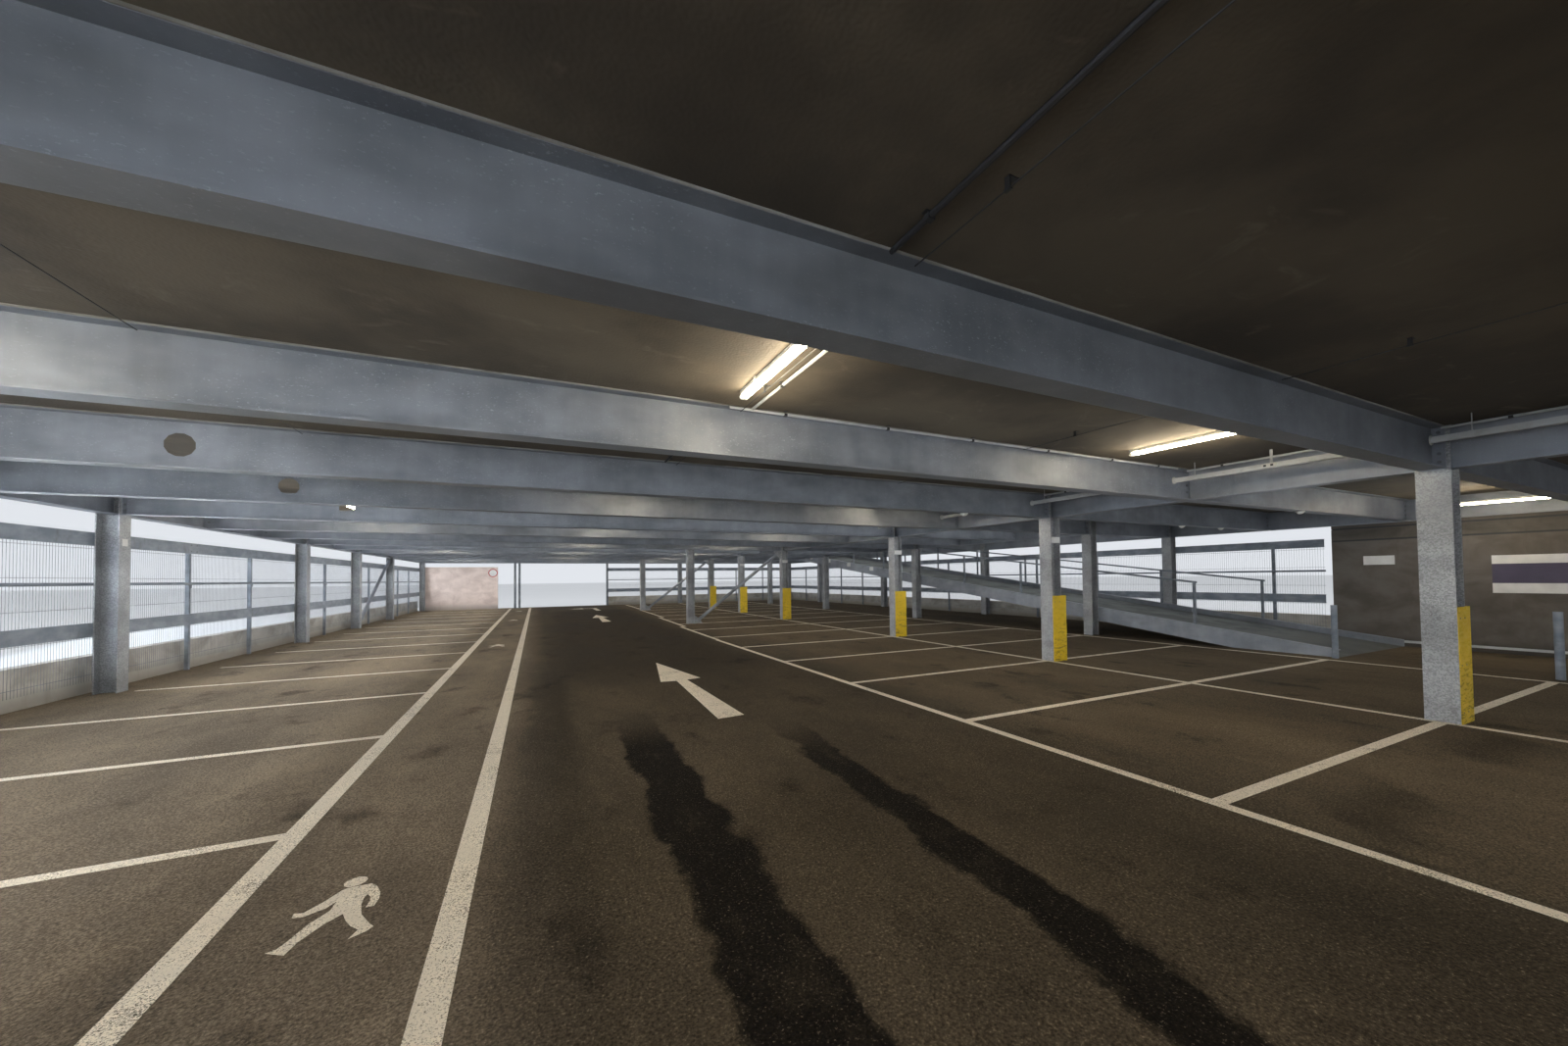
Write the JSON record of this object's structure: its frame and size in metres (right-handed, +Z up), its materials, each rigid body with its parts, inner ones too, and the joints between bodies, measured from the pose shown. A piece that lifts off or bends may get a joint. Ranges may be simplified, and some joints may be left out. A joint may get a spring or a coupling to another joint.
{
  "type": "multi storey car park",
  "caption": "Steel-framed car park: long cross beams over an aisle with parking bays, concrete decks, a ramp beside the bays, open railed sides and an open top deck.",
  "frame": {"origin": "middle of the footprint, on the ground under the ground floor", "axes": "+Z up, +Y along the aisle away from the camera, +X across it towards the ramp"},
  "size_m": [24.24, 39.4, 8.074],
  "materials": {
    "asphalt": "worn dark asphalt with white lines",
    "deck_concrete": "smooth cast concrete, stained brown",
    "wall_concrete": "cast concrete",
    "galvanised_steel": "galvanised, with a fine mottle",
    "rail_steel": "grey paint",
    "screen_board": "grey paint, dusty",
    "wall_render": "pinkish render",
    "guard_yellow": "yellow paint, scuffed",
    "lamp_body": "white plastic",
    "lamp_diffuser": "lit diffuser",
    "notice_board": "white, bare"
  },
  "bodies": {
    "root": {"ground_slab": "asphalt", "dwarf_walls": "wall_concrete", "left_columns": "galvanised_steel", "spine_columns": "galvanised_steel", "right_columns": "galvanised_steel", "ramp_columns": "galvanised_steel", "aisle_posts": "galvanised_steel", "aisle_beams_1": "galvanised_steel", "aisle_beams_2": "galvanised_steel", "ramp_side_beams_1": "galvanised_steel", "ramp_side_beams_2": "galvanised_steel", "left_edge_beams": "galvanised_steel", "spine_beams": "galvanised_steel", "right_edge_beams": "galvanised_steel", "ramp_trimmers": "galvanised_steel", "deck_units_1": "deck_concrete", "deck_units_2": "deck_concrete", "upstands": "wall_concrete", "ramp_slabs": "deck_concrete", "ramp_channels": "galvanised_steel", "ramp_balustrades": "rail_steel", "well_guards": "rail_steel", "brace_tubes": "galvanised_steel", "brace_gussets": "galvanised_steel", "barrier_rails": "rail_steel", "top_bands": "rail_steel", "slim_posts": "rail_steel", "handrails": "rail_steel", "parapet_frames": "rail_steel", "parapet_rails": "rail_steel", "lane_screen": "wall_concrete", "screen_boards": "screen_board", "far_end_wall": "wall_render", "entrance_posts": "galvanised_steel", "bollards": "guard_yellow", "column_guards": "guard_yellow", "lamp_bodies": "lamp_body", "lamp_tubes": "lamp_diffuser", "lighting_trunking": "galvanised_steel", "soffit_domes": "lamp_body", "notice_boards": "notice_board"}
  },
  "joints": []
}
